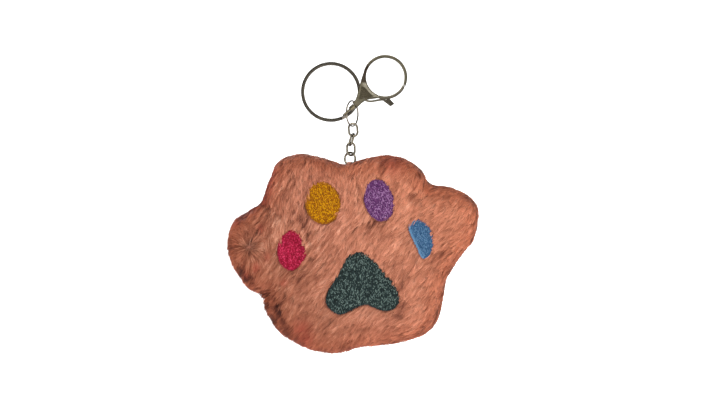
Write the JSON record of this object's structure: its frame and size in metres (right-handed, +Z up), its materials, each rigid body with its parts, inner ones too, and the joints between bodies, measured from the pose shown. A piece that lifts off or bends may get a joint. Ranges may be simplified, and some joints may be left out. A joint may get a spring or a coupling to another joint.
{
  "type": "plush keychain",
  "caption": "Stuffed plush paw with embroidered pads, hung by a short chain from a split key ring that also carries a swivelling lobster clasp",
  "frame": {"origin": "centre of the split ring, where keys are threaded", "axes": "+Z up with the paw hanging below the ring; +Y out of the paw's plain back, so the embroidered pads face -Y; +X to the right seen from the padded side"},
  "size_m": [0.1243, 0.028, 0.148],
  "materials": {
    "pile_fabric": "short brushed salmon pile on a knitted backing",
    "stuffing_fibre": "loose white polyester fibre",
    "seam_thread": "spun sewing thread, matt",
    "loop_tape": "narrow woven tape",
    "backing_cloth": "thin nonwoven",
    "pink_thread": "glossy embroidery thread, magenta",
    "yellow_thread": "glossy embroidery thread, golden yellow",
    "purple_thread": "glossy embroidery thread, purple",
    "blue_thread": "glossy embroidery thread, mid blue",
    "teal_thread": "glossy embroidery thread, dark slate teal",
    "ring_steel": "worn dark nickel plate",
    "jump_ring_wire": "thin nickel-plated wire",
    "antique_nickel": "antique nickel, brown in the hollows"
  },
  "bodies": {
    "split_ring": {"split_ring": "ring_steel"},
    "upper_jump_ring": {"upper_jump_ring": "jump_ring_wire"},
    "swivel": {"swivel_eye": "antique_nickel"},
    "clasp": {"clasp_body": "antique_nickel", "gate_pivot_pin": "ring_steel", "gate_spring": "ring_steel"},
    "gate": {"clasp_gate": "antique_nickel"},
    "chain_link_1": {"chain_link_1": "antique_nickel"},
    "chain_link_2": {"chain_link_2": "antique_nickel"},
    "chain_link_3": {"chain_link_3": "antique_nickel"},
    "lower_jump_ring": {"lower_jump_ring": "antique_nickel"},
    "paw": {"front_panel": "pile_fabric", "back_panel": "pile_fabric", "stuffing": "stuffing_fibre", "seam_thread": "seam_thread", "closing_stitches": "seam_thread", "loop_tape": "loop_tape", "loop_bar_tack": "seam_thread", "embroidery_stabiliser": "backing_cloth", "toe_pad_pink": "pink_thread", "toe_pad_yellow": "yellow_thread", "toe_pad_purple": "purple_thread", "toe_pad_blue": "blue_thread", "palm_pad": "teal_thread"}
  },
  "joints": [
    {"name": "ring_swing", "type": "hinge", "parent": "split_ring", "child": "upper_jump_ring", "pos_m": [0.01001, 0, -0.01001], "axis": [0.7071, 0, 0.7071], "range_deg": [-12, 30]},
    {"name": "clasp_swing", "type": "hinge", "parent": "upper_jump_ring", "child": "swivel", "pos_m": [0.00777, -0.00568, -0.01075], "axis": [0, 1, 0], "range_deg": [-5, 45]},
    {"name": "clasp_swivel", "type": "hinge", "parent": "swivel", "child": "clasp", "pos_m": [0.027, -0.0056, 0.007], "axis": [0.7361, 0, 0.6769], "continuous": true},
    {"name": "gate_pivot", "type": "hinge", "parent": "clasp", "child": "gate", "pos_m": [0.01636, -0.0056, -0.00359], "axis": [0, -1, 0], "range_deg": [0, 22], "stiffness_Nm_per_rad": 0.002, "springref_deg": -11.46},
    {"name": "link_1_swing", "type": "hinge", "parent": "upper_jump_ring", "child": "chain_link_1", "pos_m": [0.0106, 0, -0.0171], "axis": [0.4462, 0.8949, 0], "range_deg": [-30, 30]},
    {"name": "link_2_swing", "type": "hinge", "parent": "chain_link_1", "child": "chain_link_2", "pos_m": [0.01135, 0, -0.02213], "axis": [-0.9703, -0.2419, 0], "range_deg": [-35, 35]},
    {"name": "link_3_swing", "type": "hinge", "parent": "chain_link_2", "child": "chain_link_3", "pos_m": [0.00936, 0, -0.02675], "axis": [0.2756, -0.9613, 0], "range_deg": [-35, 35]},
    {"name": "lower_ring_swing", "type": "hinge", "parent": "chain_link_3", "child": "lower_jump_ring", "pos_m": [0.01002, 0, -0.03165], "axis": [0.866, 0.5, 0], "range_deg": [-35, 35]},
    {"name": "paw_swing", "type": "hinge", "parent": "lower_jump_ring", "child": "paw", "pos_m": [0.00952, 0, -0.03655], "axis": [-0.829, 0.5592, 0], "range_deg": [-25, 25]}
  ]
}
